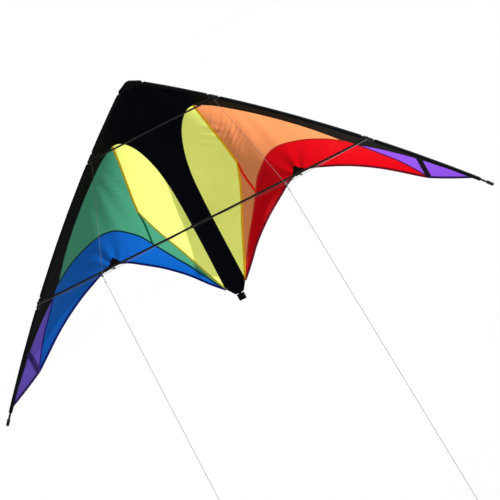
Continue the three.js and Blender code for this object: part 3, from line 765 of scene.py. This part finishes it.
def add_webbing(materials):
    """Nose and tail webbing, and on each wing the tip strap and the patch that the standoff pushes on."""
    nose = NOSE_OUTLINE + mirrored(NOSE_OUTLINE, -1)[::-1]
    for cad_name, outline in (("nose_webbing", nose), ("tail_webbing", tail_outline())):
        low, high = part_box(cad_name)
        piece = folded_webbing(cad_name + "_fold", outline, low.y / MM, high.y / MM, materials["webbing"])
        settle(piece, [cad_name])
    for name, side in SIDES.items():
        look = materials[f"{name}_strap"]
        strap = ribbon(f"{name}_strap", smooth(STRAP), STRAP_WIDTH, look, ahead=0.7, crown=0.5, side=side)
        settle(strap, [f"{name}_tip_strap"])
        outline = join_lines(*(smooth(pair) for pair in zip(PATCH, PATCH[1:] + PATCH[:1])))
        patch = cloth_panel(f"{name}_patch", mirrored(outline, side), materials["webbing"], ahead=1.0)
        settle(patch, [f"{name}_standoff_patch"])
        closed = outline + outline[:1]
        look = materials["black_seam"]
        rim = ribbon(f"{name}_patch_rim", closed, PATCH_RIM_WIDTH, look, ahead=1.0, side=side)
        settle(rim)


def tube(name, path, radius, material, sides=20, wobble=0.0):
    """A round tube along points in metres, with rounded-over ends."""
    points = [Vector(p) for p in path]
    verts, faces = [], []
    first = (points[1] - points[0]).normalized()
    up = Vector((0, 1, 0)) if abs(first.y) < 0.9 else Vector((0, 0, 1))
    rings = []
    lip = min(radius * 0.3, (points[1] - points[0]).length * 0.2)
    stations = [(points[0], first, radius - lip), (points[0] + first * lip, first, radius)]
    for i in range(1, len(points) - 1):
        stations.append((points[i], (points[i + 1] - points[i - 1]).normalized(), radius))
    last = (points[-1] - points[-2]).normalized()
    stations += [(points[-1] - last * lip, last, radius), (points[-1], last, radius - lip)]
    for n, (centre, along, r) in enumerate(stations):
        across = along.cross(up).normalized()
        over = across.cross(along).normalized()
        ring = []
        for k in range(sides):
            a = 2 * math.pi * k / sides
            swell = r * (1 + wobble * math.sin(3 * a + 1.7 * n) * math.sin(0.9 * n))
            ring.append(len(verts))
            verts.append(centre + (across * math.cos(a) + over * math.sin(a)) * swell)
        rings.append(ring)
    for ring, following in zip(rings, rings[1:]):
        for k in range(sides):
            j = (k + 1) % sides
            faces.append((ring[k], ring[j], following[j], following[k]))
    faces.append(tuple(reversed(rings[0])))
    faces.append(tuple(rings[-1]))
    mesh = bpy.data.meshes.new(name)
    mesh.from_pydata(verts, [], faces)
    piece = add_object(name, mesh, material)
    for end in (-2, -1):
        mesh.polygons[end].use_smooth = False
    return piece


def edge_path(from_x, to_x, side, inset=SLEEVE_R, step=15.0):
    return [Vector((side * x, 0, z)) * MM for x, z in edge_line(from_x, to_x, inset, step)]


def add_sleeves(materials):
    """The leading edge sleeves, slightly uneven folded cloth round the rods."""
    for name, side in SIDES.items():
        for run, (from_x, to_x) in SLEEVE_RUNS.items():
            path = edge_path(from_x, to_x, side, step=9.0)
            look = materials["sleeve"]
            piece = tube(f"{name}_{run}_sleeve_cloth", path, SLEEVE_R * MM, look, 18, wobble=0.035)
            settle(piece, [f"{name}_{run}_sleeve"])


def rod_in_box(name, cad_name, stations, material):
    """A round rod along x that fills its CAD node's box, with points at the given shares of its length."""
    low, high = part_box(cad_name)
    y, z = (low.y + high.y) / 2, (low.z + high.z) / 2
    path = [(low.x + (high.x - low.x) * share, y, z) for share in stations]
    return tube(name, path, (high.z - low.z) / 2, material)


def add_standoff(name, side, materials):
    """The rod that holds the trailing edge away from the lower spreader."""
    foot = Vector((side * STANDOFF_X, SPREADER_Y, 0)) * MM
    x, y, z = STANDOFF_TIP
    tip = Vector((side * x, y, z)) * MM
    along = (tip - foot).normalized()
    path = [foot + along * STANDOFF_START * MM, foot.lerp(tip, 0.5), tip - along * MM]
    rod = tube(f"{name}_standoff", path, STANDOFF_R * MM, materials["rod"])
    settle(rod, [f"{name}_standoff_rod"], f"{name}_standoff")


def add_rods(materials):
    """Round rods in place of the faceted ones, each inside its CAD node's own box."""
    spine_low, spine_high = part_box("spine_rod")
    middle = (spine_low + spine_high) / 2
    radius = (spine_high.y - spine_low.y) / 2
    path = [(0, middle.y, spine_low.z), (0, middle.y, spine_high.z)]
    settle(tube("spine", path, radius, materials["rod"]), ["spine_rod"])
    upper = rod_in_box("upper_spreader", "upper_spreader_rod", (0, 0.5, 1), materials["rod"])
    settle(upper, ["upper_spreader_rod"], "upper_spreader")
    for name, side in SIDES.items():
        cad_name = f"{name}_lower_spreader_rod"
        rod = rod_in_box(f"{name}_lower_spreader", cad_name, (0, 1), materials["rod"])
        settle(rod, [cad_name], f"{name}_lower_spreader")
        for part, (from_x, to_x) in EDGE_ROD_RUNS.items():
            path = edge_path(from_x, to_x, side)
            rod = tube(f"{name}_{part}_edge_spar", path, EDGE_ROD_R * MM, materials["rod"])
            settle(rod, [f"{name}_{part}_edge_rod"])
        add_standoff(name, side, materials)
        nock = tube(f"{name}_nock", edge_path(*NOCK_RUN, side, step=4), NOCK_R * MM, materials["vinyl"])
        settle(nock, [f"{name}_tip_nock"])


def end_loop(name, side, materials):
    """The knot and the hand loop at the near end of a flying line."""
    knot_at = tow_point(side, LINE_LENGTHS[name] + END_KNOT_GAP)
    knot = coil_knot(f"{name}_end_knot", knot_at, END_KNOT_R * MM, LINE_R * MM, 3, materials["line"])
    across = LINE_DIRECTION.cross(Vector((0, 0, 1))).normalized()
    path = []
    for i in range(37):
        a = 2 * math.pi * i / 36
        wide, far = LOOP_HALF_WIDTH * math.sin(a), LOOP_HALF_LENGTH * (1 - math.cos(a))
        path.append(knot_at + (across * wide + LINE_DIRECTION * far) * MM)
    loop = tube(f"{name}_hand_loop", path, LINE_R * MM, materials["line"], 10)
    settle(knot)
    settle(loop, [f"{name}_line_end_loop"])
    return [knot, loop]


def add_cord(name, side, materials):
    """A flying line, drawn taut from the pigtail to its loop just past the edge of the picture."""
    start = tow_point(side, PIGTAIL + LINE_GAP)
    end = tow_point(side, LINE_LENGTHS[name])
    curve = bpy.data.curves.new(f"{name}_line", "CURVE")
    curve.dimensions = "3D"
    curve.bevel_depth = LINE_R * MM
    curve.bevel_resolution = 4
    curve.use_fill_caps = True
    spline = curve.splines.new("POLY")
    steps = 24
    spline.points.add(steps)
    for i in range(steps + 1):
        spline.points[i].co = (*start.lerp(end, i / steps), 1)
    curve.materials.append(materials["line"])
    piece = bpy.data.objects.new(f"{name}_line", curve)
    bpy.context.scene.collection.objects.link(piece)
    settle(piece, [f"{name}_flying_line"])
    end_loop(name, side, materials)


def tow_point(side, distance):
    """A point on a flying line at a distance from its tow knot in millimetres, in metres."""
    return (Vector((side * TOW[0], TOW[1], TOW[2])) + LINE_DIRECTION * distance) * MM


def add_bridle(name, side, materials):
    """One side's three bridle legs, the knot where they meet, and the pigtail with its stopper knot."""
    knot = tow_point(side, 0)
    for leg, (x, y, z) in BRIDLE_ANCHORS.items():
        anchor = Vector((side * x, y, z)) * MM
        along = (knot - anchor).normalized()
        start, end = LEG_ENDS
        path = [anchor + along * start * MM, anchor.lerp(knot, 0.5), knot - along * end * MM]
        piece = tube(f"{name}_{leg}_leg", path, LEG_R * MM, materials["leg"], 10)
        settle(piece, [f"{name}_{leg}_bridle_leg"])
    stopper_at = tow_point(side, PIGTAIL - 2)
    path = [tow_point(side, -2), tow_point(side, 10), stopper_at]
    pigtail = tube(f"{name}_pigtail", path, PIGTAIL_R * MM, materials["line"], 12)
    settle(pigtail, [f"{name}_tow_pigtail"])
    tow = coil_knot(f"{name}_tow_knot", knot, TOW_KNOT_R * MM, PIGTAIL_R * MM, 3, materials["line"])
    settle(tow)
    stopper = coil_knot(
        f"{name}_stopper_knot", stopper_at, STOPPER_KNOT_R * MM, LINE_R * MM, 2, materials["line"],
    )
    settle(stopper)


def add_lines(materials):
    """The free flying lines, then the bridles, whose legs the kite holds at both ends."""
    for name, side in SIDES.items():
        add_cord(name, side, materials)
    for name, side in SIDES.items():
        add_bridle(name, side, materials)


def paint_nodes(materials):
    """The CAD pieces that keep their own shape get the finish of their slot."""
    looks = {
        "webbing_black": "webbing", "rod_black": "rod", "vinyl_black": "vinyl", "line_grey": "line",
    }
    slots = {s["node"]: s["material_slot"] for s in frame["record"]["subparts"]}
    for name, piece in frame["nodes"].items():
        if slots[name] in looks:
            for slot in piece.material_slots:
                slot.material = materials[looks[slots[name]]]


# ---- Camera, light and stage ----

def camera_axes():
    a, e = math.radians(CAMERA_AZIMUTH), math.radians(CAMERA_ELEVATION)
    back = Vector((math.sin(a) * math.cos(e), -math.cos(a) * math.cos(e), math.sin(e)))
    right = Vector((math.cos(a), math.sin(a), 0))
    up = back.cross(right)
    turn = Matrix.Rotation(math.radians(CAMERA_ROLL), 3, back)
    return turn @ right, turn @ up, back


def add_camera():
    right, up, back = camera_axes()
    place = back * CAMERA_DISTANCE
    aim = right * AIM_RIGHT + up * AIM_UP
    look = (place - aim).normalized()
    side = up.cross(look).normalized()
    top = look.cross(side).normalized()
    data = bpy.data.cameras.new("camera")
    data.sensor_width = SENSOR_WIDTH
    data.lens = SENSOR_WIDTH * CAMERA_DISTANCE / VIEW_WIDTH
    data.clip_end = 200
    camera = bpy.data.objects.new("camera", data)
    camera.matrix_world = Matrix((side, top, look)).transposed().to_4x4()
    camera.location = place
    bpy.context.scene.collection.objects.link(camera)
    bpy.context.scene.camera = camera


def add_sun(name, energy, place, angle):
    """A sun that shines from a place towards the origin. The angle is in degrees."""
    data = bpy.data.lights.new(name, "SUN")
    data.energy = energy
    data.angle = math.radians(angle)
    lamp = bpy.data.objects.new(name, data)
    lamp.location = place
    lamp.rotation_mode = "QUATERNION"
    lamp.rotation_quaternion = Vector(place).to_track_quat("Z", "Y")
    bpy.context.scene.collection.objects.link(lamp)


def add_stage():
    """A pale floor far below, a pale sky, a low sun beside the right wing and a soft light from above."""
    mesh = bpy.data.meshes.new("floor")
    marks = [FLOOR_REACH * (2 * i / FLOOR_ROWS - 1) for i in range(FLOOR_ROWS + 1)]
    verts = [(x, y, FLOOR_Z) for y in marks for x in marks]
    row = FLOOR_ROWS + 1
    faces = [
        (j * row + i, j * row + i + 1, (j + 1) * row + i + 1, (j + 1) * row + i)
        for j in range(FLOOR_ROWS) for i in range(FLOOR_ROWS)
    ]
    mesh.from_pydata(verts, [], faces)
    material, tree = new_material("pale_floor")
    position, _ = object_position(tree)
    plain = tree.nodes.new("ShaderNodeBsdfDiffuse")
    tree.links.new(varied_colour(tree, position, FLOOR_COLOUR, 0.01, 0.4), plain.inputs["Color"])
    show(tree, plain)
    add_object("floor", mesh, material)
    world = bpy.data.worlds.new("sky")
    bpy.context.scene.world = world
    world.use_nodes = True
    world.node_tree.nodes["Background"].inputs["Color"].default_value = (1, 1, 1, 1)
    world.node_tree.nodes["Background"].inputs["Strength"].default_value = SKY_STRENGTH
    add_sun("low_sun", SUN_STRENGTH, SUN_FROM, SUN_ANGLE)
    add_sun("high_fill", FILL_STRENGTH, FILL_FROM, FILL_ANGLE)
    bpy.context.scene.view_settings.view_transform = "Standard"


def write_sizes():
    def plain(corners):
        return [[float(v) for v in corner] for corner in corners]


add_camera()
looks = make_materials()
add_lines(looks)
add_sail(looks)
add_seams(looks)
add_webbing(looks)
add_sleeves(looks)
add_rods(looks)
paint_nodes(looks)
add_stage()
write_sizes()
